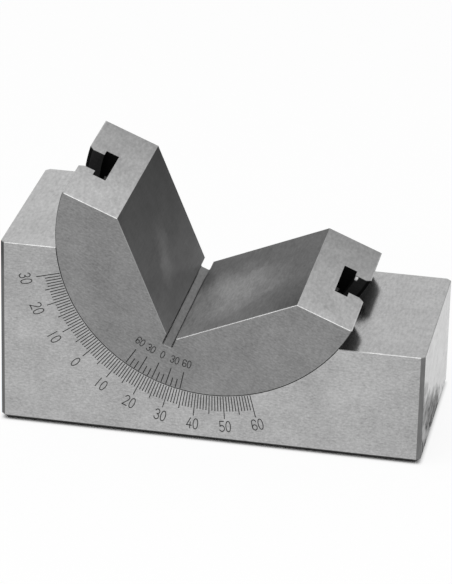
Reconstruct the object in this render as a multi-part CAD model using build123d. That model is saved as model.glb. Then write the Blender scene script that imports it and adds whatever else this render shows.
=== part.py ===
from build123d import *
import math
import os

# Adjustable-angle vee block: a ground steel base with a circular cradle, a disc segment with a
# 90 degree vee that swivels in it, and two screws that clamp the segment through its rim slot.
# Millimetres and degrees. X runs along the block, Y from its front face to its back, Z up.
# The origin is the centre of the underside.

# Base block
BASE_LENGTH = 102.0
WIDTH = 45.5
LOW_SIDE_HEIGHT = 28.0
FLOOR_UNDER_CRADLE = 12.35
CORNER_CHAMFER = 1.0
BOTTOM_CHAMFER = 1.3
EDGE_BREAK = 0.15

# Swivel segment and its seat
SWIVEL_RADIUS = 37.6
CRADLE_CLEARANCE = 0.05
CHORD_DROP = 3.2
VEE_ANGLE = 90.0
VEE_WEB = 2.45
RELIEF_WIDTH = 2.4
RELIEF_DEPTH = 2.6
RELIEF_CORNER = 0.4

# T-slot round the rim of the segment
NECK_WIDTH = 10.0
NECK_DEPTH = 4.0
HEAD_WIDTH = 14.8
HEAD_DEPTH = 3.3
LIP_CHAMFER = 1.2

# Curved T-nuts in that slot
NUT_LENGTH = 9.0
NUT_SIDE_CLEARANCE = 0.2
NUT_LEDGE_CLEARANCE = 0.08
NUT_LIFT = 0.6
NUT_NECK_RECESS = 0.5
NUT_CORNER = 0.5
LEFT_NUT_ANGLE = -30.0
RIGHT_NUT_ANGLE = -6.0

# M6 socket head clamp screws, from below
SCREW_DIAMETER = 6.0
SCREW_HEAD_DIAMETER = 10.0
SCREW_HEAD_HEIGHT = 6.0
SCREW_SOCKET = 5.0
SCREW_SOCKET_DEPTH = 3.0
SCREW_CHAMFER = 0.5
SCREW_TIP_RECESS = 0.4
THREAD_CLEARANCE = 0.05
HOLE_CLEARANCE = 0.3
COUNTERBORE_CLEARANCE = 0.5
COUNTERBORE_DEPTH = 6.5

# Degree scale on the base and vernier on the segment
SCALE_START = -30
SCALE_END = 60
LINE_WIDTH = 0.23
LINE_DEPTH = 0.1
LINE_GAP = 0.1
DEGREE_LINE = 4.0
FIVE_DEGREE_LINE = 4.9
TEN_DEGREE_LINE = 6.0
VERNIER_DIVISIONS = 6
VERNIER_SPAN = 11.0
VERNIER_LINE = 2.5
VERNIER_LONG_LINE = 4.75

# Setting of the segment: the vee leans this far to the left of the base's own zero direction
READING = 23.0
ZERO_TILT = 45.0

# Heights and radii that follow
CRADLE_RADIUS = SWIVEL_RADIUS + CRADLE_CLEARANCE
CENTRE_HEIGHT = FLOOR_UNDER_CRADLE + CRADLE_RADIUS
HIGH_SIDE_HEIGHT = CENTRE_HEIGHT - CHORD_DROP
LEDGE_RADIUS = SWIVEL_RADIUS - NECK_DEPTH
SLOT_FLOOR_RADIUS = LEDGE_RADIUS - HEAD_DEPTH
NUT_TOP_RADIUS = SLOT_FLOOR_RADIUS + NUT_LIFT
RELIEF_FLOOR = -(SLOT_FLOOR_RADIUS - VEE_WEB)
VEE_APEX = RELIEF_FLOOR + RELIEF_DEPTH - RELIEF_WIDTH / 2 / math.tan(math.radians(VEE_ANGLE / 2))
FRONT = -WIDTH / 2
PIVOT = Axis((0, 0, CENTRE_HEIGHT), (0, 1, 0))
SWIVEL_PLACE = Pos(0, 0, CENTRE_HEIGHT) * Rot(0, ZERO_TILT - READING, 0)

# How a primitive stands: centred on its place, with its foot on it
STANDING = (Align.CENTER, Align.CENTER, Align.MIN)


def across(outline):
    """Makes a solid of the block's full width from an outline drawn in X and Z."""
    return extrude(Plane.XZ * outline, amount=WIDTH / 2, both=True)


def tee_ring(neck_width, head_width, outer, ledge, inner, lip=0.0):
    """Revolves a T section about the pivot: a neck out to one radius and a head inside the ledge."""
    neck, head = neck_width / 2, head_width / 2
    flare = [(neck + lip, outer), (neck, outer - lip)] if lip else [(neck, outer)]
    half = flare + [(neck, ledge), (head, ledge), (head, inner)]
    other = [(-y, r) for y, r in reversed(half)]
    section = make_face(Polyline([(y, CENTRE_HEIGHT - r) for y, r in half + other], close=True))
    return revolve(Plane.YZ * section, PIVOT, 360)


def radial_line(angle, inner, outer, centre=Location()):
    """A thin bar that cuts one line into the front face, at an angle from straight down."""
    middle, length = (inner + outer) / 2, outer - inner
    bar = Box(LINE_WIDTH, 2 * LINE_DEPTH, length)
    return centre * Pos(0, FRONT, 0) * Rot(0, -angle, 0) * Pos(0, 0, -middle) * bar


def scale_lines():
    """The base's degree lines, longer at each five and ten degrees."""
    start = CRADLE_RADIUS + LINE_GAP
    for degree in range(SCALE_START, SCALE_END + 1):
        length = DEGREE_LINE
        if degree % 5 == 0:
            length = FIVE_DEGREE_LINE
        if degree % 10 == 0:
            length = TEN_DEGREE_LINE
        angle = degree - ZERO_TILT
        yield radial_line(angle, start, CRADLE_RADIUS + length, Pos(0, 0, CENTRE_HEIGHT))


def vernier_lines():
    """The segment's vernier lines, to both sides of the vee's middle plane."""
    end = SWIVEL_RADIUS - EDGE_BREAK - LINE_GAP
    for step in range(-VERNIER_DIVISIONS, VERNIER_DIVISIONS + 1):
        length = VERNIER_LINE if 2 * step % VERNIER_DIVISIONS else VERNIER_LONG_LINE
        angle = step * VERNIER_SPAN / VERNIER_DIVISIONS
        yield radial_line(angle, SWIVEL_RADIUS - length, end)


def clamp_x(angle):
    """Distance of a clamp screw from the block's middle, from its nut's angle at the ledge."""
    return LEDGE_RADIUS * math.sin(math.radians(angle))


def screw_hole(x):
    """A clearance hole up into the cradle with a counterbore from the underside."""
    hole = Cylinder(SCREW_DIAMETER / 2 + HOLE_CLEARANCE, CENTRE_HEIGHT, align=STANDING)
    counterbore = Cylinder(
        SCREW_HEAD_DIAMETER / 2 + COUNTERBORE_CLEARANCE, COUNTERBORE_DEPTH, align=STANDING
    )
    return Pos(x, 0, 0) * (hole + counterbore)


def base_block():
    """The stepped block with its cradle, corner chamfers, screw holes and degree scale."""
    half = BASE_LENGTH / 2
    outline = Polyline(
        [
            (-half, 0),
            (half, 0),
            (half, LOW_SIDE_HEIGHT),
            (0, LOW_SIDE_HEIGHT),
            (0, HIGH_SIDE_HEIGHT),
            (-half, HIGH_SIDE_HEIGHT),
        ],
        close=True,
    )
    block = across(make_face(outline))
    corners = [e for e in block.edges().filter_by(Axis.Z) if abs(abs(e.center().X) - half) < EDGE_BREAK]
    block = chamfer(corners, CORNER_CHAMFER)
    block = chamfer(block.faces().sort_by(Axis.Z)[0].edges(), BOTTOM_CHAMFER)
    tops = [f for f in block.faces().filter_by(Axis.Z) if f.normal_at().Z > 0]
    rims = [e for f in tops for e in f.edges() if abs(e.center().X) > EDGE_BREAK]
    block = chamfer(rims, EDGE_BREAK)
    cradle = Pos(0, 0, CENTRE_HEIGHT) * Rot(90, 0, 0) * Cylinder(CRADLE_RADIUS, 2 * WIDTH)
    block -= cradle
    block -= [screw_hole(clamp_x(angle)) for angle in (LEFT_NUT_ANGLE, RIGHT_NUT_ANGLE)]
    return block - list(scale_lines())


def vee_cut():
    """Outline of the vee and the relief slot at its bottom, in the segment's own frame."""
    reach = 2 * SWIVEL_RADIUS
    spread = reach * math.tan(math.radians(VEE_ANGLE / 2))
    vee = make_face(
        Polyline([(0, VEE_APEX), (spread, VEE_APEX + reach), (-spread, VEE_APEX + reach)], close=True)
    )
    relief = Pos(0, RELIEF_FLOOR) * Rectangle(RELIEF_WIDTH, RELIEF_DEPTH, align=(Align.CENTER, Align.MIN))
    relief = fillet(relief.vertices().sort_by(Axis.Y)[:2], RELIEF_CORNER)
    return vee + relief


def swivel_vee():
    """The disc segment with its vee, its T-slot round the rim and the vernier."""
    disc = Circle(SWIVEL_RADIUS)
    above = Pos(0, -CHORD_DROP) * Rectangle(
        3 * SWIVEL_RADIUS, 3 * SWIVEL_RADIUS, align=(Align.CENTER, Align.MIN)
    )
    segment = across(disc - above - vee_cut())
    ends = segment.faces().filter_by(Axis.Y)
    segment = chamfer(ends.edges(), EDGE_BREAK)
    slot = Pos(0, 0, -CENTRE_HEIGHT) * tee_ring(
        NECK_WIDTH, HEAD_WIDTH, SWIVEL_RADIUS, LEDGE_RADIUS, SLOT_FLOOR_RADIUS, LIP_CHAMFER
    )
    segment -= slot
    segment -= list(vernier_lines())
    return SWIVEL_PLACE * segment


def tee_nut(angle):
    """One curved T-nut, cut square to the screw and bored for it."""
    ring = tee_ring(
        NECK_WIDTH - 2 * NUT_SIDE_CLEARANCE,
        HEAD_WIDTH - 2 * NUT_SIDE_CLEARANCE,
        SWIVEL_RADIUS - NUT_NECK_RECESS,
        LEDGE_RADIUS - NUT_LEDGE_CLEARANCE,
        NUT_TOP_RADIUS,
    )
    x = clamp_x(angle)
    blank = Pos(x, 0, 0) * Box(NUT_LENGTH, WIDTH, CENTRE_HEIGHT, align=STANDING)
    nut = ring & blank
    nut = chamfer(nut.edges().filter_by(Axis.Z), NUT_CORNER)
    bore = Cylinder(SCREW_DIAMETER / 2 + THREAD_CLEARANCE, CENTRE_HEIGHT, align=STANDING)
    return nut - Pos(x, 0, 0) * bore


def screw_tip(x):
    """Height where a clamp screw ends, just inside the lowest part of its nut's top."""
    near = max(abs(x) - SCREW_DIAMETER / 2, 0)
    return CENTRE_HEIGHT - math.sqrt(NUT_TOP_RADIUS**2 - near**2) - SCREW_TIP_RECESS


def clamp_screw(angle):
    """A socket head cap screw, head down in its counterbore."""
    x = clamp_x(angle)
    length = screw_tip(x) - COUNTERBORE_DEPTH
    head = Pos(0, 0, -SCREW_HEAD_HEIGHT) * Cylinder(
        SCREW_HEAD_DIAMETER / 2, SCREW_HEAD_HEIGHT, align=STANDING
    )
    head = chamfer(head.edges().sort_by(Axis.Z)[0], SCREW_CHAMFER)
    socket = Pos(0, 0, -SCREW_HEAD_HEIGHT) * extrude(
        RegularPolygon(SCREW_SOCKET / 2, 6, major_radius=False), SCREW_SOCKET_DEPTH
    )
    shank = Cylinder(SCREW_DIAMETER / 2, length, align=STANDING)
    shank = chamfer(shank.edges().sort_by(Axis.Z)[-1], SCREW_CHAMFER)
    return Pos(x, 0, COUNTERBORE_DEPTH) * (head - socket + shank)


PARTS = {
    "base_block": base_block(),
    "swivel_vee": swivel_vee(),
    "left_t_nut": tee_nut(LEFT_NUT_ANGLE),
    "right_t_nut": tee_nut(RIGHT_NUT_ANGLE),
    "left_clamp_screw": clamp_screw(LEFT_NUT_ANGLE),
    "right_clamp_screw": clamp_screw(RIGHT_NUT_ANGLE),
}

os.makedirs("parts", exist_ok=True)
for name, part in PARTS.items():
    export_step(part, f"parts/{name}.step")
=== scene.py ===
"""Looks of the adjustable v-block: ground steel, engraved numbers, clamp screws, studio and camera.

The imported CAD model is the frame. Pieces and finishes are measured in millimetres, and the studio and
the camera in metres.
"""

import logging
import math
from collections.abc import Callable
from dataclasses import dataclass, field
from enum import Enum

import bpy
from mathutils import Matrix, Vector

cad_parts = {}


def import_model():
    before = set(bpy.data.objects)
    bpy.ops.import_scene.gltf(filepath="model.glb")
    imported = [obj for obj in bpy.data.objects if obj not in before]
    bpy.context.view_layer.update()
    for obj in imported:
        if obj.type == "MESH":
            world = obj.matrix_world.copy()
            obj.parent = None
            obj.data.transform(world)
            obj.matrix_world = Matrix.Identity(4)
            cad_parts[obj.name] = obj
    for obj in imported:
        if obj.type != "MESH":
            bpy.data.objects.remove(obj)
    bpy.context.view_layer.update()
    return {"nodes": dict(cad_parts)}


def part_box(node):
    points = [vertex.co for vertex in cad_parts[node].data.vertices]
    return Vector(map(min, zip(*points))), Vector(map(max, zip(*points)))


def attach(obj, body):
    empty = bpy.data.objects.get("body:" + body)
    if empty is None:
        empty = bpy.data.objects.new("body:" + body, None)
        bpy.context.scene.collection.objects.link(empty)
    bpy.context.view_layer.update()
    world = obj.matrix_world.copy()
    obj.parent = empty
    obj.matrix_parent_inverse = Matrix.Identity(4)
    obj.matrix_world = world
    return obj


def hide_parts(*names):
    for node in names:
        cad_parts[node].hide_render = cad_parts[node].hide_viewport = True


log = logging.getLogger("v_block")

MM = 0.001
FRONT_Y = -22.75
PIVOT_Z = 50.0
CRADLE_RADIUS = 37.65
SEGMENT_TILT = math.radians(22)
# Roughness of the dull layer that carries painted shade, painted reflections and painted glints.
DULL_SHADE_ROUGHNESS = 0.9

# An edge is where a mask is 0 and where it is 1. A span is its two ends, soft by a blur to each side.
# Ends are what a field gives at 0 and at 1. A limit is an edge or a span of the coordinate it names.
Edge = tuple[float, float]
Span = tuple[float, float, float]
Ends = tuple[float, float]
Limit = tuple[str, float, float] | tuple[str, float, float, float]


class Field:
    """A value socket in a material, on which Python's operators add Math nodes."""

    def __init__(self, sheet: "NodeSheet", socket: bpy.types.NodeSocket) -> None:
        """Keeps the socket and the sheet that it is on."""
        self.sheet = sheet
        self.socket = socket

    def math(self, operation: str, *values: "Field | float") -> "Field":
        """Adds one Math node with these inputs, in order."""
        return self.sheet.node("ShaderNodeMath", {"operation": operation}, dict(enumerate(values)))

    def __add__(self, other: "Field | float") -> "Field":
        """Sum."""
        return self.math("ADD", self, other)

    def __radd__(self, other: "Field | float") -> "Field":
        """Sum, with the field on the right."""
        return self.math("ADD", other, self)

    def __sub__(self, other: "Field | float") -> "Field":
        """Difference."""
        return self.math("SUBTRACT", self, other)

    def __rsub__(self, other: "Field | float") -> "Field":
        """Difference, with the field on the right."""
        return self.math("SUBTRACT", other, self)

    def __mul__(self, other: "Field | float") -> "Field":
        """Product."""
        return self.math("MULTIPLY", self, other)

    def __rmul__(self, other: "Field | float") -> "Field":
        """Product, with the field on the right."""
        return self.math("MULTIPLY", other, self)

    def __abs__(self) -> "Field":
        """Absolute value."""
        return self.math("ABSOLUTE", self)

    def root(self) -> "Field":
        """Square root."""
        return self.math("SQRT", self)

    def step(self, low: float, high: float) -> "Field":
        """Rises smoothly from 0 at low to 1 at high, or falls where low is the larger.

        Args:
            low: the value that gives 0.
            high: the value that gives 1.

        Returns:
            The mask.
        """
        first, last, start, end = (low, high, 0.0, 1.0) if low < high else (high, low, 1.0, 0.0)
        return self.sheet.node(
            "ShaderNodeMapRange",
            {"interpolation_type": "SMOOTHSTEP"},
            {"Value": self, "From Min": first, "From Max": last, "To Min": start, "To Max": end},
        )

    def between(self, low: float, high: float, blur: float) -> "Field":
        """1 between two values and 0 outside them, with soft ends that reach blur to each side."""
        return self.step(low - blur, low + blur) * self.step(high + blur, high - blur)

    def limited(self, low: float, high: float, blur: float | None = None) -> "Field":
        """The mask of an edge, or of a span where there is a blur."""
        return self.step(low, high) if blur is None else self.between(low, high, blur)

    def spread(self, low: "Field | float", high: "Field | float") -> "Field":
        """Runs straight from low, where the field is 0, to high, where it is 1."""
        return low + (high - low) * self

    def dimming(self, share: float) -> "Field":
        """A factor that takes this share off where the field is 1."""
        return 1 - share * self


class NodeSheet:
    """The node tree of a material or of the world, and the single method that makes its nodes."""

    def __init__(self, owner: bpy.types.Material | bpy.types.World) -> None:
        """Empties the owner's node tree.

        Args:
            owner: the material or the world.
        """
        self.owner = owner
        owner.use_nodes = True
        self.tree = owner.node_tree
        self.tree.nodes.clear()

    def node(
        self,
        kind: str,
        settings: dict[str, object] | None = None,
        values: dict[str | int, object] | None = None,
        output: str | int = 0,
    ) -> Field:
        """Adds a node, sets it up and links it.

        Args:
            kind: the node's type.
            settings: the node's own settings, which are set first.
            values: numbers, vectors or fields for its input sockets.
            output: the output socket that is wanted.

        Returns:
            That output as a field.
        """
        made = self.tree.nodes.new(kind)
        for name, value in (settings or {}).items():
            setattr(made, name, value)
        for name, value in (values or {}).items():
            if isinstance(value, Field):
                self.tree.links.new(value.socket, made.inputs[name])
            else:
                made.inputs[name].default_value = value
        return Field(self, made.outputs[output] if made.outputs else None)

    def position(self) -> Field:
        """Object coordinates, in millimetres."""
        place = self.node("ShaderNodeTexCoord", output="Object")
        return self.scaled(place, (1 / MM,) * 3)

    def normal(self) -> Field:
        """The surface's own normal, in the object's frame."""
        return self.node("ShaderNodeTexCoord", output="Normal")

    def scaled(self, vector: Field, factors: tuple[float, float, float]) -> Field:
        """A vector times a number for each axis."""
        return self.node("ShaderNodeVectorMath", {"operation": "MULTIPLY"}, {0: vector, 1: factors})

    def turned(self, vector: Field, angle: float, shift: tuple[float, float, float] | None = None) -> Field:
        """Turns a direction about Y, or turns and then shifts a place.

        Args:
            vector: what is turned.
            angle: the turn in radians.
            shift: what is added to a place after the turn, or None for a direction.

        Returns:
            The vector in the turned frame.
        """
        values = {"Vector": vector, "Rotation": (0.0, angle, 0.0)}
        if shift is None:
            return self.node("ShaderNodeMapping", {"vector_type": "VECTOR"}, values)
        return self.node("ShaderNodeMapping", {"vector_type": "POINT"}, values | {"Location": shift})

    def parts(self, vector: Field) -> tuple[Field, Field, Field]:
        """The three numbers of a vector."""
        outputs = self.node("ShaderNodeSeparateXYZ", {}, {0: vector}).socket.node.outputs
        return Field(self, outputs[0]), Field(self, outputs[1]), Field(self, outputs[2])

    def joined(self, x: Field | float, y: Field | float, z: Field | float) -> Field:
        """Three numbers as one vector."""
        return self.node("ShaderNodeCombineXYZ", {}, {0: x, 1: y, 2: z})

    def zones(self, axes: dict[str, Field], table: dict[str, tuple[Limit, ...]]) -> dict[str, Field]:
        """Makes a mask for each zone of a table, as the product of its limits.

        Args:
            axes: the coordinates, by name.
            table: each zone's limits.

        Returns:
            The masks, by the zones' names.
        """
        masks = {}
        for zone, limits in table.items():
            first, *others = (axes[axis].limited(*ends) for axis, *ends in limits)
            masks[zone] = math.prod(others, start=first)
        return masks

    def noise(self, vector: Field, scale: float, detail: float = 2.0, rough: float = 0.5) -> Field:
        """Noise between 0 and 1 over a vector."""
        values = {"Vector": vector, "Scale": scale, "Detail": detail, "Roughness": rough}
        return self.node("ShaderNodeTexNoise", {"noise_dimensions": "3D"}, values)

    def grey(self, level: Field, warmth: float = 1.0) -> Field:
        """A grey colour of varying level, as near neutral as warmth is to 1."""
        return self.node("ShaderNodeCombineColor", {}, {0: level, 1: level * warmth, 2: level * warmth})

    def finish(
        self,
        values: dict[str, object],
        relief: Field | None = None,
        depth: float = 0.0,
        dull_shade_share: Field | None = None,
        dull_shade_tone: Field | None = None,
    ) -> bpy.types.Material:
        """Ends the material with a Principled shader.

        Args:
            values: numbers, colours or fields for the shader's sockets.
            relief: the height of a fine relief, from 0 to 1.
            depth: the relief's depth, in mm.
            dull_shade_share: a mask of the places that are dull and don't shine at all, where painted
                shade, painted reflections and painted glints go.
            dull_shade_tone: the colour of those places.

        Returns:
            The material.
        """
        if relief is not None:
            bump = {"Strength": 1.0, "Distance": depth * MM, "Height": relief}
            values = values | {"Normal": self.node("ShaderNodeBump", {}, bump)}
        shader = self.node("ShaderNodeBsdfPrincipled", {}, values)
        # A dull layer on top, whose colour paints shade, reflections and glints.
        if dull_shade_share is not None:
            dull = {"Base Color": dull_shade_tone, "Roughness": DULL_SHADE_ROUGHNESS, "Specular IOR Level": 0.0}
            dull_shade = self.node("ShaderNodeBsdfPrincipled", {}, dull)
            shader = self.node("ShaderNodeMixShader", {}, {0: dull_shade_share, 1: shader, 2: dull_shade})
        self.node("ShaderNodeOutputMaterial", {}, {"Surface": shader})
        return self.owner


@dataclass(frozen=True)
class GrindingMarks:
    """Short grinding scratches, a fine sparkle and soft clouds on a face, in features per millimetre."""

    along: float = 1.1
    across: float = 2.5
    sparkle: float = 2.2
    cloud: float = 0.16
    band: float = 0.1
    band_stretch: float = 0.15
    scratch_depth: float = 0.62
    sparkle_depth: float = 0.42
    cloud_depth: float = 0.3
    band_depth: float = 0.14
    scratch_shift: float = 0.21
    cloud_shift: float = 0.4
    band_shift: float = 0.1

    def fields(self, sheet: NodeSheet, along: Field, across: Field, depth: Field) -> tuple[Field, Field]:
        """Makes the marks.

        Args:
            sheet: the material's sheet.
            along: the coordinate along the grinding lines, in mm.
            across: the coordinate across them, in mm.
            depth: a third coordinate, which keeps parallel faces different.

        Returns:
            The scratches from 0 to 1, and a factor near 1 for the steel's tone.
        """
        place = sheet.joined(along, across, depth * self.cloud_shift)
        lines = sheet.joined(along * self.along, across * self.across, depth * self.scratch_shift)
        wide = self.band * self.band_stretch
        bands = sheet.joined(along * self.band, across * wide, depth * self.band_shift)
        scratch = sheet.noise(lines, 1.0, detail=1.0, rough=0.6)
        sparkle = sheet.noise(place, self.sparkle, detail=1.0, rough=0.6)
        cloud = sheet.noise(place, self.cloud, detail=3.0, rough=0.55)
        band = sheet.noise(bands, 1.0)
        mean = 1 - (self.scratch_depth + self.sparkle_depth + self.cloud_depth + self.band_depth) / 2
        fine = self.scratch_depth * scratch + self.sparkle_depth * sparkle
        return scratch, mean + fine + self.cloud_depth * cloud + self.band_depth * band


GROUND_THROUGH = GrindingMarks(
    along=0.5, across=1.5, sparkle=1.1, cloud=0.13, scratch_depth=0.5, sparkle_depth=0.3, cloud_depth=0.34
)
HANDLED = GrindingMarks(
    along=0.8,
    across=1.6,
    sparkle=1.6,
    cloud=0.25,
    band=0.2,
    scratch_depth=0.3,
    sparkle_depth=0.3,
    cloud_depth=0.5,
)


@dataclass(frozen=True)
class HandlingStains:
    """Painted reflection of the shaded floor low on an end face, rising towards the front with a ragged
    upper edge, a lighter band and real dark flecks.
    """

    stretch: float = 0.5
    ragged_scale: float = 0.28
    blotch_scale: float = 0.5
    slope: float = 0.5
    waver: float = 16.0
    floor_heights: Edge = (17.0, -1.0)
    dark_levels: Edge = (10.0, 4.5)
    dark: Ends = (0.28, 0.62)
    # How much lighter a band inside the painted reflection is, and where it lies.
    rubbed: float = 0.6
    rubbed_levels: Span = (-5.0, -1.0, 1.0)
    halo: float = 0.22
    halo_levels: Edge = (11.0, 7.0)
    mottle: Ends = (0.4, 1.7)
    fleck: float = 0.12
    fleck_edge: Edge = (0.5, 0.7)

    def mask(self, sheet: NodeSheet, y: Field, z: Field) -> Field:
        """Makes the mask.

        Args:
            sheet: the material's sheet.
            y: the place across the block, in mm.
            z: the height, in mm.

        Returns:
            The mask, from 0 to 1.
        """
        place = sheet.joined(0.0, y * self.stretch, z)
        ragged = sheet.noise(place, self.ragged_scale, detail=4.0, rough=0.65) - 0.5
        blotch = sheet.noise(place, self.blotch_scale, detail=3.0, rough=0.6)
        level = z + self.slope * y + self.waver * ragged
        dark = level.step(*self.dark_levels) * z.step(*self.floor_heights).spread(*self.dark)
        dark = dark * level.between(*self.rubbed_levels).dimming(self.rubbed)
        halo = self.halo * level.step(*self.halo_levels)
        # Painted reflection of the shaded floor, mottled, plus real dark flecks.
        return (halo + dark) * blotch.spread(*self.mottle) + self.fleck * blotch.step(*self.fleck_edge)


INSIDE_LINES: Limit = ("y", FRONT_Y + 0.008, FRONT_Y + 0.14, 0.006)
BLOCK_ZONES: dict[str, tuple[Limit, ...]] = {
    "front": (("|ny|", 0.8, 0.95),),
    "level": (("|nz|", 0.8, 0.95),),
    "end": (("|nx|", 0.8, 0.95),),
    "cradle": (("radius", CRADLE_RADIUS + 0.12, CRADLE_RADIUS + 0.04),),
    "upward": (("nz", 0.2, 0.4),),
    "downward": (("nz", -0.2, -0.4),),
    "upright": (("|nz|", 0.4, 0.2),),
    "low_side": (("x", 0.0, 10.0),),
    "left_to_right": (("x", -40.0, 40.0),),
    "high_front": (("z", 24.0, 44.0),),
    "high_chamfer": (("z", 38.0, 45.0),),
    "faded_edge": (("x", 24.0, 36.0, 3.0),),
    "line_slant": (("|ny|", 0.4, 0.85, 0.05),),
    "lines": (("radius", CRADLE_RADIUS + 0.06, CRADLE_RADIUS + 6.8, 0.02), INSIDE_LINES),
}


@dataclass(frozen=True)
class GroundSteel:
    """Steel with grinding marks and with black lines cut into its front, as both large pieces have."""

    ink: float = 0.012
    roughness: float = 0.3
    line_roughness: float = 0.2
    mark_roughness: float = 0.06
    mark_relief: float = 0.003
    level_marks: GrindingMarks = GROUND_THROUGH

    def values(self, sheet: NodeSheet, tone: Field, marks: Field, lines: Field) -> dict[str, object]:
        """The shader's values for marked steel with paint in its lines.

        Args:
            sheet: the material's sheet.
            tone: the steel's grey level.
            marks: the factor of the grinding marks.
            lines: the mask of the lines.

        Returns:
            The values, by their sockets' names.
        """
        return {
            "Base Color": sheet.grey(lines.spread(tone * marks, self.ink)),
            "Metallic": 1 - lines,
            "Roughness": self.roughness + self.mark_roughness * (marks - 1) + self.line_roughness * lines,
        }


@dataclass(frozen=True)
class BlockSteel(GroundSteel):
    """Ground steel of the base block, with dull chamfers in painted shade, bright broken edges, a black
    scale and a painted reflection of the shaded floor on its right end.
    """

    front: float = 0.41
    front_dim: float = 0.11
    top: float = 0.43
    low_top: float = 0.395
    end: float = 0.5
    cradle: float = 0.3
    # The chamfers' tones are painted shade: the left chamfer darker and darker still towards its top, the
    # right one lighter, the downward ones near black.
    left_chamfer: float = 0.105
    left_chamfer_dim: float = 0.6
    right_chamfer: float = 0.16
    underside_chamfer: float = 0.03
    edge: float = 0.27
    edge_fade: float = 0.7
    edge_wear: Ends = (0.7, 1.3)
    wear_scale: float = 0.35
    # Colour of the painted reflection of the shaded floor on the right end face.
    stain: float = 0.07
    top_polish: float = 0.11
    chamfer_roughness: float = 0.12
    end_stretch: float = 0.5
    stains: HandlingStains = HandlingStains()
    marks: GrindingMarks = GrindingMarks(cloud_depth=0.4, band_depth=0.24)
    end_marks: GrindingMarks = HANDLED

    def material(self) -> bpy.types.Material:
        """Makes the material.

        Returns:
            The material of this finish.
        """
        sheet = NodeSheet(bpy.data.materials.new("block_ground_steel"))
        place = sheet.position()
        x, y, z = sheet.parts(place)
        nx, ny, nz = sheet.parts(sheet.normal())
        above = z - PIVOT_Z
        axes = {"x": x, "y": y, "z": z, "radius": (x * x + above * above).root(), "nz": nz}
        axes |= {"|nx|": abs(nx), "|ny|": abs(ny), "|nz|": abs(nz)}
        zone = sheet.zones(axes, BLOCK_ZONES)
        front, level, end = zone["front"], zone["level"], zone["end"]
        cradle = zone["cradle"] * (1 - front)
        slanted = 1 - (front + level + end) * (1 - cradle) - cradle
        dull = slanted * zone["upright"]
        fine, marks = self.marks.fields(sheet, x, z, y)
        through, level_marks = self.level_marks.fields(sheet, y, x, z)
        upright, end_marks = self.end_marks.fields(sheet, y * self.end_stretch, z, x)
        fine = fine * front + through * (1 - front - end) + upright * end
        marks = marks * front + level_marks * (1 - front - end) + end_marks * end
        worn = sheet.noise(place, self.wear_scale, detail=3.0, rough=0.7).spread(*self.edge_wear)
        broken = slanted * zone["upward"] * worn * zone["faded_edge"].dimming(self.edge_fade)
        # Painted shade on the chamfers, darker on the left and towards the top.
        chamfer = self.left_chamfer * zone["high_chamfer"].dimming(self.left_chamfer_dim)
        chamfer = zone["left_to_right"].spread(chamfer, self.right_chamfer)
        top = zone["low_side"].spread(self.top, self.low_top)
        tone = self.front * zone["high_front"].dimming(self.front_dim) * front
        tone = tone + (top * level + self.end * end) * (1 - cradle) + self.cradle * cradle
        tone = tone + chamfer * dull + self.edge * broken
        # Painted shade on the downward chamfers.
        tone = tone + self.underside_chamfer * slanted * zone["downward"]
        values = self.values(sheet, tone, marks, zone["lines"] * (1 - zone["line_slant"]))
        values["Roughness"] = values["Roughness"] - self.top_polish * level + self.chamfer_roughness * dull
        # Painted reflection of the shaded floor, low on the right end face, in the dull layer.
        stain = end * zone["low_side"] * self.stains.mask(sheet, y, z)
        return sheet.finish(values, fine, self.mark_relief, stain, sheet.grey(self.stain * marks))


@dataclass(frozen=True)
class VeeSmears:
    """Soft lighter places on the faces of the vee."""

    stretch: float = 0.5
    cloud_scale: float = 0.16
    wipe_lean: float = 0.55
    wipe_start: float = 6.3
    wipe_waver: float = 14.0
    wipe_width: Edge = (7.0, 0.5)
    wipe_heights: Span = (-19.5, -12.5, 3.0)
    wipe_mottle: float = 0.8
    patch_middle: tuple[float, float] = (-2.0, -19.3)
    patch_squeeze: tuple[float, float] = (0.8, 1.4)
    patch_waver: float = 16.0
    patch_radius: Edge = (17.0, 0.0)

    def fields(self, sheet: NodeSheet, u: Field, y: Field, w: Field) -> tuple[Field, Field]:
        """Makes the masks.

        Args:
            sheet: the material's sheet.
            u: the place across the vee, in mm.
            y: the place through the segment, in mm.
            w: the height in the segment's own frame, in mm.

        Returns:
            A curved streak for the left face and a round patch for the right one, from 0 to 1.
        """
        spot = sheet.joined(u, y * self.stretch, w)
        cloud = sheet.noise(spot, self.cloud_scale, detail=3.0, rough=0.6) - 0.5
        across = y - self.wipe_lean * w - self.wipe_start + self.wipe_waver * cloud
        curved_streak = abs(across).step(*self.wipe_width) * w.between(*self.wipe_heights) + self.wipe_mottle * cloud
        aside, up = y - self.patch_middle[0], w - self.patch_middle[1]
        squared = up * up * self.patch_squeeze[1] + aside * aside * self.patch_squeeze[0]
        return curved_streak, (squared.root() + self.patch_waver * cloud).step(*self.patch_radius)


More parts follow.
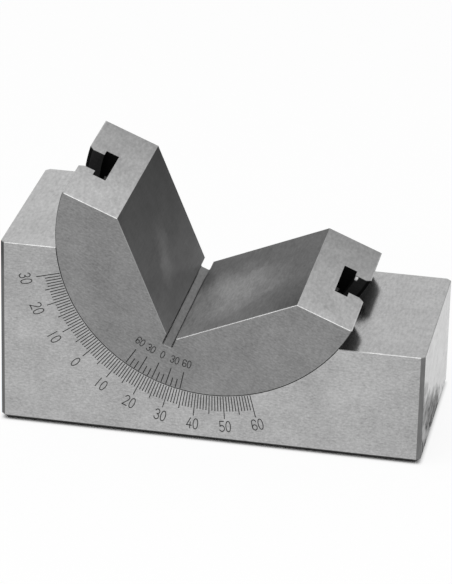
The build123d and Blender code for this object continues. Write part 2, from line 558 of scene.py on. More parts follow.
SEGMENT_LEVEL: Limit = ("|ny|", 0.3, 0.15)
SEGMENT_RIGHT: Limit = ("u", -1.0, 1.0)
SEGMENT_ZONES: dict[str, tuple[Limit, ...]] = {
    "right": (SEGMENT_RIGHT,),
    "side": (("|ny|", 0.8, 0.95),),
    "level": (SEGMENT_LEVEL,),
    "chord": (SEGMENT_LEVEL, ("nw", 0.95, 0.99), ("w", -3.6, -3.4)),
    "vee": (SEGMENT_LEVEL, ("nw", 0.62, 0.8, 0.04), ("radius", 37.4, 37.2)),
    "vee_front": (("y", -2.0, -20.0),),
    "inside": (("radius", 37.3, 37.1),),
    "notch": (("|u|", 1.5, 1.35), ("w", -24.4, -24.6)),
    "relief": (SEGMENT_LEVEL, ("|u|", 1.6, 1.45), ("w", -26.0, -26.3)),
    "upright": (("|nw|", 0.6, 0.4),),
    "slot": (("|y|", 7.6, 7.45), ("radius", 30.1, 30.25), ("radius", 37.57, 37.5), ("w", -3.26, -3.4)),
    "neck": (("|y|", 4.9, 5.3, 0.05), ("neck_radius", 33.6, 33.7)),
    "outer": (SEGMENT_LEVEL, ("radius", 37.3, 37.4)),
    "outward": (("outward", 0.8 * CRADLE_RADIUS, 0.9 * CRADLE_RADIUS),),
    "rim_low": (SEGMENT_RIGHT, ("w", -3.0, -7.5)),
    "rim_back": (SEGMENT_RIGHT, ("y", 2.0, 8.0)),
    "arm_end": (("w", -6.0, -5.0),),
    "burr": (("u", 33.6, 34.3, 0.15), ("y", 4.4, 5.1, 0.15), ("w", -4.6, -3.9)),
    "chip": (("|u|", 30.6, 31.4, 0.2), ("w", -10.35, -9.45, 0.2), ("y", 7.3, 7.45, 0.05)),
    "lines": (("radius", 31.0, 37.54, 0.02), INSIDE_LINES, ("w", -28.5, -29.0)),
}


@dataclass(frozen=True)
class SegmentSteel(GroundSteel):
    """Ground steel of the swivelling segment, darker on its sides, with painted shade in the vee, on the
    right chord, the rim and the arms' tips, black in the T-slot as blackened steel with painted shade, and
    painted glints in the slot.

    In the segment's own frame u runs across the vee, y through the segment and w up, from the pivot.
    """

    side: float = 0.235
    chord: float = 0.46
    chord_front: float = 0.1
    # The right chord face is painted darker than the left, as painted shade.
    right_chord_dim: float = 0.13
    # The vee's faces are painted dark as painted shade for the dark room they mirror, the left face darker
    # than the right; the dims and the bend shape that painted shade up each face.
    left_vee: float = 0.085
    left_haze: float = 0.4
    left_back_dim: float = 0.005
    left_top_dim: float = 0.042
    left_middle: float = -14.0
    left_bend: float = 0.0025
    left_bend_middle: float = -13.5
    right_vee: float = 0.122
    right_haze: float = 1.05
    right_top_dim: float = 0.052
    right_middle: float = -10.5
    # The outer rim is painted dark as painted shade under the arms, darker still low on the right arm and
    # towards its back, so that the top below mirrors a dark shadow.
    rim: float = 0.1
    rim_low_dim: float = 0.6
    rim_back_dim: float = 0.35
    relief: float = 0.2
    # The relief groove's walls are painted near black, as painted shade in the groove.
    relief_wall: float = 0.02
    edge: float = 0.28
    # The lip chamfers at the arms' tips are painted dark as painted shade, dull on the left arm.
    tip: float = 0.1
    covered: Edge = (0.2, 0.8)
    # The T-slot is blackened, unground steel with painted shade in it, near black and dull; its neck walls
    # are painted lighter where light reaches in.
    slot: float = 0.006
    slot_wall: float = 0.02
    right_neck_shift: float = 0.4
    # Painted glints: a bright spot at the corner of the right slot's mouth and fainter lit spots inside the
    # slots' heads.
    burr: float = 0.9
    chip: float = 0.3
    ink: float = 0.01
    grazing: float = 0.5
    lapping: float = 0.7
    lapped_grain: float = 0.4
    # Share and strength of the dull dark layer that paints shade on the vee's faces.
    vee_dull: float = 0.65
    vee_body: float = 1.3
    tip_dull: float = 0.85
    tip_body: float = 0.42
    smears: VeeSmears = VeeSmears()
    marks: GrindingMarks = GrindingMarks(cloud_depth=0.45, band_depth=0.2)

    def vee_tone(self, sheet: NodeSheet, u: Field, y: Field, w: Field, zone: dict[str, Field]) -> Field:
        """Tone of the vee's faces, painted shade for the dark room they mirror: the left face darker than
        the right, changing up each face and lighter in the streak and the patch.

        Args:
            sheet: the material's sheet.
            u: the place across the vee, in mm.
            y: the place through the segment, in mm.
            w: the height in the segment's own frame, in mm.
            zone: the masks of the segment's zones.

        Returns:
            The grey level.
        """
        streak, patch = self.smears.fields(sheet, u, y, w)
        bend = w - self.left_bend_middle
        left = self.left_vee * (1 + self.left_haze * streak) * y.dimming(self.left_back_dim)
        left = left * (w - self.left_middle).dimming(self.left_top_dim) * (1 + self.left_bend * bend * bend)
        dim = ((w - self.right_middle) * zone["vee_front"]).dimming(self.right_top_dim)
        return zone["right"].spread(left, self.right_vee * (1 + self.right_haze * patch) * dim)

    def material(self) -> bpy.types.Material:
        """Makes the material.

        Returns:
            The material of this finish.
        """
        sheet = NodeSheet(bpy.data.materials.new("segment_ground_steel"))
        shift = (PIVOT_Z * math.sin(SEGMENT_TILT), 0.0, -PIVOT_Z * math.cos(SEGMENT_TILT))
        u, y, w = sheet.parts(sheet.turned(sheet.position(), -SEGMENT_TILT, shift))
        nu, ny, nw = sheet.parts(sheet.turned(sheet.normal(), -SEGMENT_TILT))
        radius = (u * u + w * w).root()
        axes = {"u": u, "y": y, "w": w, "radius": radius, "nw": nw, "outward": nu * u + nw * w}
        axes |= {"|u|": abs(u), "|y|": abs(y), "|ny|": abs(ny), "|nw|": abs(nw)}
        # The lighter neck band ends nearer the mouth in the right arm's slot, as painted light.
        axes["neck_radius"] = radius - self.right_neck_shift * u.step(*SEGMENT_RIGHT[1:])
        zone = sheet.zones(axes, SEGMENT_ZONES)
        side, chord, vee, slot = zone["side"], zone["chord"], zone["vee"], zone["slot"]
        right, relief = zone["right"], zone["relief"]
        broken = (1 - side - zone["level"]) * zone["inside"] * (1 - zone["notch"])
        wall, rim = relief * zone["upright"], zone["outer"] * zone["outward"]
        # The lip chamfers at the arms' ends, which carry painted shade.
        tip = (zone["outer"] - rim) * zone["arm_end"]
        lapped = vee * (1 - right)
        coarse = lapped.dimming(self.lapping)
        fine, marks = self.marks.fields(sheet, u, w, y)
        through, level_marks = self.level_marks.fields(sheet, y, u + w, u - w)
        fine = fine * side + (through * coarse + self.lapping / 2 * lapped) * (1 - side)
        grain = lapped * (self.lapping - self.lapped_grain + self.lapped_grain * marks)
        marks = marks * side + (level_marks * coarse + grain) * (1 - side)
        vee_tone = self.vee_tone(sheet, u, y, w, zone)
        chord_tone = self.chord + self.chord_front * (y * (1 / FRONT_Y))
        chord_tone = chord_tone * right.dimming(self.right_chord_dim)
        shaded_rim_tone = self.rim * zone["rim_low"].dimming(self.rim_low_dim)
        shaded_rim_tone = shaded_rim_tone * zone["rim_back"].dimming(self.rim_back_dim)
        covered = (side + chord + vee + relief + rim + broken + tip).step(*self.covered)
        tone = self.side * side + chord_tone * chord + vee_tone * vee + self.relief * (relief - wall)
        tone = tone + self.relief_wall * wall + self.tip * tip + self.edge * broken
        # Painted shade on the rim, and on whatever no zone covers.
        tone = tone + shaded_rim_tone * rim + self.rim * (1 - covered)
        values = self.values(sheet, tone, marks, zone["lines"])
        values["Specular Tint"] = (self.grazing,) * 3 + (1.0,)
        # Painted shade in the slot, lighter on the neck walls.
        dull_shade_tone = zone["neck"].spread(self.slot, self.slot_wall)
        # Painted glints in the slot.
        dull_shade_tone = (dull_shade_tone + self.burr * zone["burr"] + self.chip * zone["chip"]) * slot
        open_vee, shaded_left_tip = vee * (1 - slot), tip * (1 - right)
        # Painted shade on the open vee and on the left arm's tips, in the dull layer.
        dull_shade_tone = dull_shade_tone + self.vee_body * vee_tone * open_vee + self.tip_body * shaded_left_tip
        dull = slot + self.vee_dull * open_vee + self.tip_dull * shaded_left_tip
        return sheet.finish(values, fine, self.mark_relief, dull, sheet.grey(dull_shade_tone * marks))


@dataclass(frozen=True)
class TurnedSteel:
    """Machined steel of the T-nuts, a little oily."""

    tone: float = 0.32
    plain: float = 0.8
    line_depth: float = 0.25
    cloud_depth: float = 0.15
    warmth: float = 0.99
    roughness: Ends = (0.285, 0.435)
    line_scales: tuple[float, float, float] = (0.3, 0.3, 5.0)
    cloud_scale: float = 0.25
    relief: float = 0.006

    def material(self) -> bpy.types.Material:
        """Makes the material.

        Returns:
            The material of this finish.
        """
        sheet = NodeSheet(bpy.data.materials.new("nut_turned_steel"))
        place = sheet.position()
        lines = sheet.noise(sheet.scaled(place, self.line_scales), 1.0, detail=3.0)
        cloud = sheet.noise(place, self.cloud_scale)
        tone = self.tone * (self.plain + self.line_depth * lines + self.cloud_depth * cloud)
        values = {
            "Base Color": sheet.grey(tone, self.warmth),
            "Metallic": 1.0,
            "Roughness": cloud.spread(*self.roughness),
        }
        return sheet.finish(values, lines, self.relief)


@dataclass(frozen=True)
class BlackOxide:
    """Black-oxide finish of the clamp screws, with steel showing where the oxide is worn through."""

    tone: float = 0.035
    mottle: Ends = (0.7, 1.3)
    bare: float = 0.3
    rubbed: Edge = (0.62, 0.74)
    metal: Ends = (0.6, 1.0)
    roughness: Ends = (0.32, 0.52)
    cloud_scale: float = 0.8
    rub_scale: float = 3.0
    relief: float = 0.008

    def material(self) -> bpy.types.Material:
        """Makes the material.

        Returns:
            The material of this finish.
        """
        sheet = NodeSheet(bpy.data.materials.new("screw_black_oxide"))
        place = sheet.position()
        cloud = sheet.noise(place, self.cloud_scale, detail=3.0)
        rub = sheet.noise(place, self.rub_scale).step(*self.rubbed)
        values = {
            "Base Color": sheet.grey(rub.spread(self.tone * cloud.spread(*self.mottle), self.bare)),
            "Metallic": rub.spread(*self.metal),
            "Roughness": cloud.spread(*self.roughness),
        }
        return sheet.finish(values, cloud, self.relief)


@dataclass(frozen=True)
class EngravingInk:
    """Dark paint rubbed into the engraved numbers."""

    tone: float = 0.02
    mottle: Ends = (0.6, 1.5)
    roughness: Ends = (0.5, 0.7)
    cloud_scale: float = 1.6

    def material(self) -> bpy.types.Material:
        """Makes the material.

        Returns:
            The material of this finish.
        """
        sheet = NodeSheet(bpy.data.materials.new("engraving_ink"))
        cloud = sheet.noise(sheet.position(), self.cloud_scale)
        values = {
            "Base Color": sheet.grey(self.tone * cloud.spread(*self.mottle)),
            "Metallic": 0.0,
            "Roughness": cloud.spread(*self.roughness),
        }
        return sheet.finish(values)


def object_mode() -> None:
    """Leaves edit mode."""
    bpy.ops.object.mode_set(mode="OBJECT")


def deselect_all() -> None:
    """Leaves edit mode and deselects every object."""
    if bpy.context.object is not None and bpy.context.object.mode != "OBJECT":
        object_mode()
    bpy.ops.object.select_all(action="DESELECT")


def edit_all() -> None:
    """Enters edit mode with all of the active mesh selected."""
    bpy.ops.object.mode_set(mode="EDIT")
    bpy.ops.mesh.select_all(action="SELECT")


def extrude(way: tuple[float, float, float]) -> None:
    """Extrudes what is selected, and moves it."""
    bpy.ops.mesh.extrude_region_move(TRANSFORM_OT_translate={"value": way})


def resize(x: float, y: float, z: float) -> None:
    """Scales what is selected about the origin."""
    bpy.ops.transform.resize(value=(x, y, z), center_override=(0, 0, 0))


def apply_place() -> None:
    """Puts the place, turn and scale of what is selected into its mesh."""
    bpy.ops.object.transform_apply(location=True, rotation=True, scale=True)


def active_mesh(name: str) -> bpy.types.Object:
    """Names the object that an operator has just added.

    Args:
        name: the name of the object and of its mesh.

    Returns:
        The object.
    """
    made = bpy.context.object
    made.name = name
    made.data.name = name
    return made


def pick(made: bpy.types.Object, kind: str, wanted: Callable[[object], bool]) -> None:
    """Selects some faces or corners of a mesh, and leaves it in edit mode.

    Args:
        made: the mesh.
        kind: FACE or VERT.
        wanted: says whether a face or a corner is selected.
    """
    bpy.context.view_layer.objects.active = made
    bpy.ops.object.mode_set(mode="EDIT")
    bpy.ops.mesh.select_mode(type=kind)
    bpy.ops.mesh.select_all(action="DESELECT")
    object_mode()
    for part in made.data.polygons if kind == "FACE" else made.data.vertices:
        part.select = bool(wanted(part))
    bpy.ops.object.mode_set(mode="EDIT")


def paint(made: bpy.types.Object, finish: bpy.types.Material) -> None:
    """Gives a piece this finish and no other."""
    made.data.materials.clear()
    made.data.materials.append(finish)


def apply_modifier(made: bpy.types.Object, kind: str, **settings: object) -> None:
    """Adds a modifier to an object and applies it.

    Args:
        made: the object.
        kind: the modifier's type.
        settings: the modifier's settings, by name.
    """
    added = made.modifiers.new(kind.lower(), kind)
    for name, value in settings.items():
        setattr(added, name, value)
    bpy.context.view_layer.objects.active = made
    bpy.ops.object.modifier_apply(modifier=added.name)


def placed_copy(master: bpy.types.Object, name: str, place: Matrix) -> bpy.types.Object:
    """Copies a piece with its own mesh and puts the place into that mesh.

    Args:
        master: what is copied.
        name: the copy's name.
        place: where the copy goes.

    Returns:
        The copy, with its object at the origin.
    """
    made = master.copy()
    made.data = master.data.copy()
    made.name = name
    bpy.context.scene.collection.objects.link(made)
    deselect_all()
    made.matrix_world = place
    made.select_set(True)
    bpy.context.view_layer.objects.active = made
    apply_place()
    return made


def joined(pieces: list[bpy.types.Object], name: str) -> bpy.types.Object:
    """Joins pieces into one object.

    Args:
        pieces: what is joined.
        name: the new name.

    Returns:
        The object.
    """
    deselect_all()
    for piece in pieces:
        piece.select_set(True)
    bpy.context.view_layer.objects.active = pieces[0]
    bpy.ops.object.join()
    return active_mesh(name)


class Move(Enum):
    """What the engraver's cutter does next."""

    RUN = "straight on"
    LEFT = "arc to the left"
    RIGHT = "arc to the right"


@dataclass(frozen=True)
class Stroke:
    """One path of the cutter, for a digit of height 1 about its middle."""

    start: tuple[float, float]
    heading: float
    moves: tuple[tuple[Move, float, float], ...]


def oval(width: float, tip: float) -> tuple[tuple[Move, float, float], ...]:
    """The arcs of a closed four-centred oval of height 1, from its right side upwards.

    Args:
        width: the oval's width.
        tip: the radius of its ends.

    Returns:
        The cutter's moves.
    """
    rise, bulge = 0.5 - tip, width / 2 - tip
    half = 2 * math.atan2(bulge, rise)
    flank = tip + rise / math.sin(half)
    turn, cap = math.degrees(half), 180 - 2 * math.degrees(half)
    arcs = ((flank, turn), (tip, cap), (flank, 2 * turn), (tip, cap), (flank, turn))
    return tuple((Move.LEFT, radius, angle) for radius, angle in arcs)


DIGIT_WIDTH = 0.53
DIGITS: dict[str, tuple[Stroke, ...]] = {
    "0": (Stroke((DIGIT_WIDTH / 2, 0.0), 90, oval(DIGIT_WIDTH, 0.2)),),
    "1": (Stroke((0.0, 0.5), -90, ((Move.RUN, 1.0, 0),)),),
    "2": (
        Stroke((-0.246, 0.293), 80, ((Move.RIGHT, 0.25, 207), (Move.RUN, 0.765, 0))),
        Stroke((-0.28, -0.5), 0, ((Move.RUN, 0.55, 0),)),
    ),
    "3": (
        Stroke((-0.2255, 0.342), 70, ((Move.RIGHT, 0.24, 250),)),
        Stroke((0.0, 0.02), 0, ((Move.RIGHT, 0.26, 255),)),
    ),
    "4": (
        Stroke((0.1, 0.5), -116.5, ((Move.RUN, 0.81, 0),)),
        Stroke((-0.29, -0.22), 0, ((Move.RUN, 0.58, 0),)),
        Stroke((0.12, 0.1), -90, ((Move.RUN, 0.6, 0),)),
    ),
    "5": (
        Stroke((0.22, 0.5), 180, ((Move.RUN, 0.43, 0),)),
        Stroke((-0.2, 0.5), -91.7, ((Move.RUN, 0.495, 0),)),
        Stroke((-0.215, 0.005), 45, ((Move.RIGHT, 0.29, 285),)),
    ),
    "6": (
        Stroke((0.251, 0.307), 105, ((Move.LEFT, 0.26, 165), (Move.RUN, 0.48, 0), (Move.LEFT, 0.26, 360))),
    ),
}


@dataclass
class Engraver:
    """Cuts digits as thin flat strips, one master for each digit.

    A strip starts as a tiny plane and its front edge is extruded and spun along the cutter's path.
    """

    stroke: float
    height: float
    width: float
    advance: float
    depth: float = 0.03
    proud: float = 0.006
    start_length: float = 0.002
    end_corners: int = 12
    arc_step: float = 12.0
    least_steps: int = 3
    masters: dict[str, bpy.types.Object] = field(default_factory=dict)

    def end_dot(self, x: float, y: float, width: float) -> bpy.types.Object:
        """Rounds the end of a stroke, where the cutter stood.

        Args:
            x: the place across the digit.
            y: the place up the digit.
            width: the stroke's width.

        Returns:
            A flat disc.
        """
        deselect_all()
        bpy.ops.mesh.primitive_circle_add(
            vertices=self.end_corners, radius=width / 2, fill_type="NGON", location=(x, y, 0)
        )
        apply_place()
        return active_mesh("stroke_end")

    def strip(self, path: Stroke) -> list[bpy.types.Object]:
        """Cuts one stroke.

        Args:
            path: the cutter's path.

        Returns:
            A flat strip in the XY plane with its round ends, for a digit of height 1. A closed stroke
            has one end.
        """
        width = self.stroke / self.height
        heading = math.radians(path.heading)
        x, y = path.start
        ends = [self.end_dot(x, y, width)]
        deselect_all()
        bpy.ops.mesh.primitive_plane_add(size=1, location=(x, y, 0), rotation=(0, 0, heading))
        made = active_mesh("strip")
        made.scale = (self.start_length, width, 1)
        apply_place()
        ahead, begin = Vector((math.cos(heading), math.sin(heading), 0)), Vector((x, y, 0))
        pick(made, "VERT", lambda corner: (corner.co - begin).dot(ahead) > 0)
        bpy.ops.mesh.select_mode(type="EDGE")
        for move, length, angle in path.moves:
            if move is Move.RUN:
                way = (length * math.cos(heading), length * math.sin(heading), 0)
                extrude(way)
                x, y = x + way[0], y + way[1]
            else:
                side = 1 if move is Move.LEFT else -1
                turn = side * math.radians(angle)
                cx, cy = x - side * length * math.sin(heading), y + side * length * math.cos(heading)
                steps = max(self.least_steps, round(angle / self.arc_step))
                bpy.ops.mesh.spin(steps=steps, angle=-turn, center=(cx, cy, 0), axis=(0, 0, 1))
                heading += turn
                x, y = cx + side * length * math.sin(heading), cy - side * length * math.cos(heading)
        object_mode()
        if math.dist((x, y), path.start) > width:
            ends.append(self.end_dot(x, y, width))
        return [made, *ends]

    def digit(self, name: str) -> bpy.types.Object:
        """One digit in the XY plane, about its middle, cut once and kept.

        Args:
            name: the digit.

        Returns:
            The master piece, which isn't part of the model.
        """
        if name not in self.masters:
            made = joined([piece for path in DIGITS[name] for piece in self.strip(path)], "digit_" + name)
            edit_all()
            bpy.ops.mesh.normals_make_consistent(inside=False)
            resize(self.width / DIGIT_WIDTH * MM, self.height * MM, MM)
            object_mode()
            self.masters[name] = made
        return self.masters[name]

    def number(self, text: str, radius: float, angle: float) -> list[bpy.types.Object]:
        """Engraves one number on the front face, with its top towards the pivot.

        Args:
            text: its digits.
            radius: how far its middle lies from the pivot, in mm.
            angle: its place round the pivot, in degrees from straight down, positive to the right.

        Returns:
            The digits, in place.
        """
        turn = math.radians(angle)
        pivot = Matrix.Translation((0, FRONT_Y * MM, PIVOT_Z * MM)) @ Matrix.Rotation(-turn, 4, "Y")
        pieces = []
        for step, digit in enumerate(text):
            aside = (step - (len(text) - 1) / 2) * self.advance
            spot = Matrix.Translation((aside * MM, 0, -radius * MM)) @ Matrix.Rotation(math.pi / 2, 4, "X")
            pieces.append(placed_copy(self.digit(digit), "engraved", pivot @ spot))
        return pieces

    def row(
        self, name: str, numbers: list[tuple[str, float, float]], ink: bpy.types.Material
    ) -> bpy.types.Object:
        """Engraves a row of numbers as one piece.

        Args:
            name: the piece's name.
            numbers: each number's digits, radius and angle.
            ink: the paint in it.

        Returns:
            The piece, a hair proud of the face so that it shows.
        """
        cut = [piece for text, radius, angle in numbers for piece in self.number(text, radius, angle)]
        made = joined(cut, name)
        edit_all()
        bpy.ops.transform.translate(value=(0, -self.proud * MM, 0))
        object_mode()
        front = sum(face.normal.y * face.area for face in made.data.polygons) < 0
        apply_modifier(made, "SOLIDIFY", thickness=self.depth * MM, offset=-1.0 if front else 1.0)
        paint(made, ink)
        return made

    def put_away(self) -> None:
        """Removes the masters, once every number is cut."""
        for master in self.masters.values():
            bpy.data.objects.remove(master)
        self.masters.clear()


@dataclass
class BaseBlock:
    """The block with its cradle and the numbers of its degree scale."""

    finish: BlockSteel = field(default_factory=BlockSteel)
    first: int = -30
    last: int = 60
    each: int = 10
    upright: float = 45.0
    left_radius: float = 46.35
    right_radius: float = 45.55
    engraver: Engraver = field(
        default_factory=lambda: Engraver(stroke=0.29, height=2.7, width=1.12, advance=1.54)
    )

    def build(self, nodes: dict[str, bpy.types.Object], ink: bpy.types.Material) -> bpy.types.Object:
        """Dresses the block's node and engraves its numbers.

        Args:
            nodes: the CAD nodes.
            ink: the paint in the numbers.

        Returns:
            The numbers, as one new piece.
        """
        paint(nodes["base_block"], self.finish.material())
        numbers = []
        for reading in range(self.first, self.last + 1, self.each):
            share = (reading - self.first) / (self.last - self.first)
            radius = self.left_radius + (self.right_radius - self.left_radius) * share
            numbers.append((str(abs(reading)), radius, reading - self.upright))
        row = self.engraver.row("base_numbers", numbers, ink)
        self.engraver.put_away()
        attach(row, "base")
        return row


@dataclass
class SwivelSegment:
    """The swivelling segment with its vee, its T-slot and the numbers of its vernier."""

    finish: SegmentSteel = field(default_factory=SegmentSteel)
    radius: float = 30.45
    outer: float = 11.5
    inner: float = 5.85
    engraver: Engraver = field(
        default_factory=lambda: Engraver(stroke=0.26, height=1.82, width=0.85, advance=1.12)
    )

    def build(self, nodes: dict[str, bpy.types.Object], ink: bpy.types.Material) -> bpy.types.Object:
        """Dresses the segment's node and engraves its numbers.

        Args:
            nodes: the CAD nodes.
            ink: the paint in the numbers.

        Returns:
            The numbers, as one new piece.
        """
        paint(nodes["swivel_vee"], self.finish.material())
        middle = -math.degrees(SEGMENT_TILT)
        outer, inner = self.outer, self.inner
        places = (("60", -outer), ("30", -inner), ("0", 0.0), ("30", inner), ("60", outer))
        numbers = [(text, self.radius, middle + angle) for text, angle in places]
        row = self.engraver.row("vernier_numbers", numbers, ink)
        self.engraver.put_away()
        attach(row, "segment")
        return row


class Side(Enum):
    """Which of the two clamps it is."""

    LEFT = "left"
    RIGHT = "right"


@dataclass
class ClampScrews:
    """The two socket head cap screws, with knurled heads and real threads.

    A thread's tooth grows from a speck, with its flank and land as shares of the pitch. Corners nearer
    than weld become one, cut is the tolerance of the cuts at the shank's ends, and the normal of an end
    face is at least as steep as steep.
    """

    finish: BlackOxide = field(default_factory=BlackOxide)
    head_diameter: float = 10.0
    head_height: float = 6.0
    rim: float = 0.5
    ridges: int = 36
    knurl_depth: float = 0.14
    key_width: float = 5.0
    key_depth: float = 3.0
    drill_point: float = 1.1
    diameter: float = 6.0
    pitch: float = 1.0
    thread_depth: float = 0.6
    flank: float = 0.38
    land: float = 0.12
    steps: int = 24
    spare_turns: int = 2
    speck: float = 0.1
    weld: float = 0.002
    cut: float = 0.0001
    drill_tip: float = 0.06
    steep: float = 0.9
    smooth_below: float = 25.0

    def head(self) -> bpy.types.Object:
        """Makes the knurled head with its hexagon socket, about the Z axis and up from height 0.

        Returns:
            The master head, which is copied for each screw.
        """
        deselect_all()
        radius, tall = self.head_diameter / 2 - self.knurl_depth, self.head_height - self.rim
        middle = (0, 0, (self.rim + tall / 2) * MM)
        bpy.ops.mesh.primitive_cylinder_add(
            vertices=2 * self.ridges, radius=radius * MM, depth=tall * MM, location=middle
        )
        made = active_mesh("master_head")
        apply_place()
        pick(made, "FACE", lambda face: face.normal.z < -self.steep)
        extrude((0, 0, -self.rim * MM))
        narrower = 1 - self.rim / radius
        resize(narrower, narrower, 1)
        object_mode()
        pick(made, "FACE", self.is_ridge)
        bpy.ops.mesh.extrude_region_shrink_fatten(
            MESH_OT_extrude_region={}, TRANSFORM_OT_shrink_fatten={"value": self.knurl_depth * MM}
        )
        object_mode()
        self.sink_socket(made)
        return made

    def is_ridge(self, face: bpy.types.MeshPolygon) -> bool:
        """Whether a face is a strip of the head's wall that stands out, which each second one does."""
        strip = math.atan2(face.center.y, face.center.x) / math.pi * self.ridges - 0.5
        return abs(face.normal.z) < 1 - self.steep and round(strip) % 2 == 0

    def sink_socket(self, head: bpy.types.Object) -> None:
        """Sinks the hexagon socket with its drilled point into the head.

        Args:
            head: the master head.
        """
        deselect_all()
        across_corners = self.key_width / math.cos(math.pi / 6)
        bpy.ops.mesh.primitive_cylinder_add(
            vertices=6, radius=across_corners / 2 * MM, depth=2 * self.key_depth * MM, location=(0, 0, 0)
        )
        key = active_mesh("key")
        pick(key, "FACE", lambda face: face.normal.z > self.steep)
        extrude((0, 0, self.drill_point * MM))
        resize(self.drill_tip, self.drill_tip, 1)
        deselect_all()
        apply_modifier(head, "BOOLEAN", operation="DIFFERENCE", object=key, solver="EXACT")
        bpy.data.objects.remove(key)

    def shank(self, start: float, top: float) -> bpy.types.Object:
        """Draws one thread tooth and screws it up the Z axis.

        Args:
            start: the height where the thread leaves the head, in mm.
            top: the height of the tip, in mm.

        Returns:
            The shank.
        """
        deselect_all()
        root = self.diameter / 2 - self.thread_depth
        foot = (root * MM, 0, (start - self.pitch) * MM)
        bpy.ops.mesh.primitive_plane_add(size=self.speck * MM, location=foot)
        made = active_mesh("shank")
        apply_place()
        bpy.ops.object.mode_set(mode="EDIT")
        bpy.ops.mesh.select_mode(type="VERT")
        bpy.ops.mesh.select_all(action="SELECT")
        bpy.ops.mesh.merge(type="CENTER")
        rise, level = (self.thread_depth, self.flank), (0.0, self.land)
        for out, up in (rise, level, (-self.thread_depth, self.flank), level):
            extrude((out * MM, 0, up * self.pitch * MM))
        object_mode()
        apply_modifier(
            made,
            "SCREW",
            axis="Z",
            angle=math.tau,
            screw_offset=self.pitch * MM,
            iterations=math.ceil((top - start) / self.pitch) + self.spare_turns,
            steps=self.steps,
            render_steps=self.steps,
            use_smooth_shade=False,
        )
        edit_all()
        bpy.ops.mesh.remove_doubles(threshold=self.weld * MM)
        for height, way in ((start, -1), (top, 1)):
            bpy.ops.mesh.select_all(action="SELECT")
            bpy.ops.mesh.bisect(
                plane_co=(0, 0, height * MM),
                plane_no=(0, 0, way),
                use_fill=True,
                clear_outer=True,
                threshold=self.cut * MM,
            )
        bpy.ops.mesh.select_all(action="SELECT")
        bpy.ops.mesh.normals_make_consistent(inside=False)
        object_mode()
        return made

    def build(self, side: Side, head: bpy.types.Object, finish: bpy.types.Material) -> bpy.types.Object:
        """Makes one screw in place of its plain node.

        Args:
            side: which screw it is.
            head: the master head.
            finish: the screw's finish.

        Returns:
            The screw.
        """
        node = side.value + "_clamp_screw"
        low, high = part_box(node)
        place = Matrix.Translation(((low.x + high.x) / 2, 0, low.z))
        shank = self.shank(self.head_height - self.rim, (high.z - low.z) / MM)
        own_shank = placed_copy(shank, "own_shank", place)
        screw = joined([placed_copy(head, "own_head", place), own_shank], side.value + "_cap_screw")
        bpy.data.objects.remove(shank)
        paint(screw, finish)
        deselect_all()
        screw.select_set(True)
        bpy.context.view_layer.objects.active = screw
        bpy.ops.object.shade_smooth_by_angle(angle=math.radians(self.smooth_below))
        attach(screw, side.value + "_screw")
        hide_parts(node)
        return screw

    def build_all(self) -> list[bpy.types.Object]:
        """Makes both screws from one master head.

        Returns:
            The two screws.
        """
        head, finish = self.head(), self.finish.material()
        made = [self.build(side, head, finish) for side in Side]
        bpy.data.objects.remove(head)
        return made


@dataclass
class TeeNuts:
    """The two T-nuts in the segment's slot, whose solids only need their finish."""

    finish: TurnedSteel = field(default_factory=TurnedSteel)

    def dress(self, nodes: dict[str, bpy.types.Object]) -> None:
        """Gives both nuts their finish.

        Args:
            nodes: the CAD nodes.
        """
        steel = self.finish.material()
        for side in Side:
            paint(nodes[side.value + "_t_nut"], steel)


@dataclass(frozen=True)
class Softbox:
    """One soft lamp of the studio, of an even brightness where a white sheet has 1."""

    name: str
    place: tuple[float, float, float]
    width: float
    height: float
    brightness: float
    target: tuple[float, float, float] = (0.0, 0.0, 0.03)

    def build(self) -> None:
        """Adds the lamp and points it at its target."""
        deselect_all()
        bpy.ops.object.light_add(type="AREA", location=self.place)
        lamp = bpy.context.object
        lamp.name = self.name
        lamp.data.shape = "RECTANGLE"
        lamp.data.size, lamp.data.size_y = self.width, self.height
        lamp.data.energy = self.brightness * math.pi * self.width * self.height
        way = Vector(self.target) - Vector(self.place)
        lamp.rotation_euler = way.to_track_quat("-Z", "Y").to_euler()


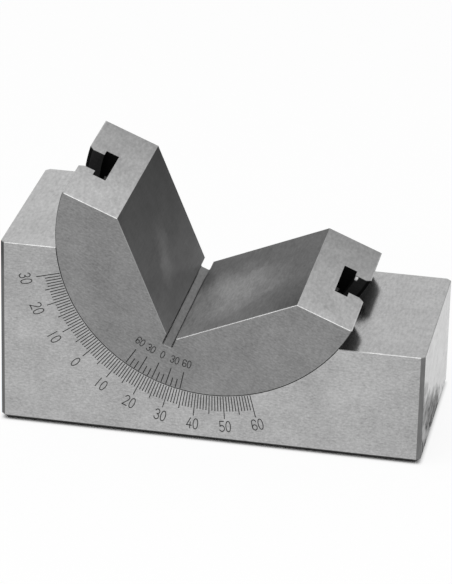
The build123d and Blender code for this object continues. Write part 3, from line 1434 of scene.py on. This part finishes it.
@dataclass
class Studio:
    """A pale floor, a soft lamp and a white room, with lengths in metres but for the block's outline."""

    floor_tone: Ends = (0.89, 0.91)
    floor_roughness: float = 0.9
    cloud_scale: float = 0.01
    floor_radius: float = 3.0
    floor_corners: int = 96
    floor_gap: float = 0.00002
    under_x: Edge = (51.8, 50.2)
    under_y: Edge = (23.5, 21.8)
    whiteness: float = 0.88
    room_light: float = 0.62
    softbox: Softbox = Softbox("overhead", (-0.08, -0.4, 0.95), 1.7, 0.5, 2.6)

    def floor(self) -> None:
        """Lays the floor, white to the eye and in polished steel, but not under the block."""
        deselect_all()
        bpy.ops.mesh.primitive_circle_add(
            vertices=self.floor_corners,
            radius=self.floor_radius,
            fill_type="NGON",
            location=(0, 0, -self.floor_gap),
        )
        floor = active_mesh("floor")
        sheet = NodeSheet(bpy.data.materials.new("floor_paper"))
        place = sheet.position()
        tone = sheet.grey(sheet.noise(place, self.cloud_scale).spread(*self.floor_tone))
        plain = {"Base Color": tone, "Roughness": self.floor_roughness}
        paper = sheet.node("ShaderNodeBsdfPrincipled", {}, plain)
        white = sheet.node("ShaderNodeEmission", {}, {"Color": (1.0, 1.0, 1.0, 1.0), "Strength": 1.0})
        x, y, _ = sheet.parts(place)
        clear = 1 - abs(x).step(*self.under_x) * abs(y).step(*self.under_y)
        share = self.whiteness * clear * self.seen(sheet)
        mixed = sheet.node("ShaderNodeMixShader", {}, {0: share, 1: paper, 2: white})
        sheet.node("ShaderNodeOutputMaterial", {}, {"Surface": mixed})
        floor.data.materials.append(sheet.owner)

    def seen(self, sheet: NodeSheet) -> Field:
        """Tells the rays of the eye, of polished steel and of glass from those that light dull things.

        Args:
            sheet: the sheet of the floor or of the room.

        Returns:
            1 for the first kinds of ray and 0 for the others.
        """
        path = sheet.node("ShaderNodeLightPath")
        outputs = path.socket.node.outputs
        seen = Field(sheet, outputs["Is Camera Ray"]) + Field(sheet, outputs["Is Glossy Ray"])
        return (seen + Field(sheet, outputs["Is Transmission Ray"])).step(0.0, 1.0)

    def room(self) -> None:
        """Makes the room white to the eye and in polished steel, and sets its light on dull things."""
        world = bpy.data.worlds.new("room")
        bpy.context.scene.world = world
        sheet = NodeSheet(world)
        level = self.seen(sheet).spread(self.room_light, 1.0)
        background = sheet.node("ShaderNodeBackground", {}, {"Color": sheet.grey(level), "Strength": 1.0})
        sheet.node("ShaderNodeOutputWorld", {}, {"Surface": background})

    def build(self) -> None:
        """Sets up the whole studio."""
        self.floor()
        self.room()
        self.softbox.build()


@dataclass
class PhotoCamera:
    """The camera of the photograph, found by fitting about thirty of the block's edges."""

    place: tuple[float, float, float] = (0.137034, -0.733100, 0.377938)
    ahead: tuple[float, float, float] = (-0.16739507, 0.89018914, -0.42372419)
    right: tuple[float, float, float] = (0.98067052, 0.19451192, 0.0212237)
    lens: float = 210.64
    sensor: float = 36.0
    clip: tuple[float, float] = (0.01, 50.0)

    def build(self) -> bpy.types.Object:
        """Adds the camera and makes it the scene's.

        Returns:
            The camera.
        """
        data = bpy.data.cameras.new("photo_camera")
        camera = bpy.data.objects.new("photo_camera", data)
        bpy.context.scene.collection.objects.link(camera)
        data.sensor_fit = "AUTO"
        data.sensor_width = self.sensor
        data.lens = self.lens
        data.clip_start, data.clip_end = self.clip
        ahead, right = Vector(self.ahead).normalized(), Vector(self.right).normalized()
        up = right.cross(ahead).normalized()
        turn = Matrix((right, up, -ahead)).transposed().to_4x4()
        camera.matrix_world = Matrix.Translation(self.place) @ turn
        bpy.context.scene.camera = camera
        return camera


def main() -> None:
    """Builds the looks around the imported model, in order, and reports each piece."""
    logging.basicConfig(level=logging.INFO, format="%(name)s: %(message)s")
    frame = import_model()
    PhotoCamera().build()
    deselect_all()
    nodes = frame["nodes"]
    ink = EngravingInk().material()
    made = [BaseBlock().build(nodes, ink), SwivelSegment().build(nodes, ink)]
    made += ClampScrews().build_all()
    TeeNuts().dress(nodes)
    for piece in made:
        log.info("%s: %d faces", piece.name, len(piece.data.polygons))
    Studio().build()
    bpy.context.scene.view_settings.view_transform = "Standard"


if __name__ == "__main__":
    main()
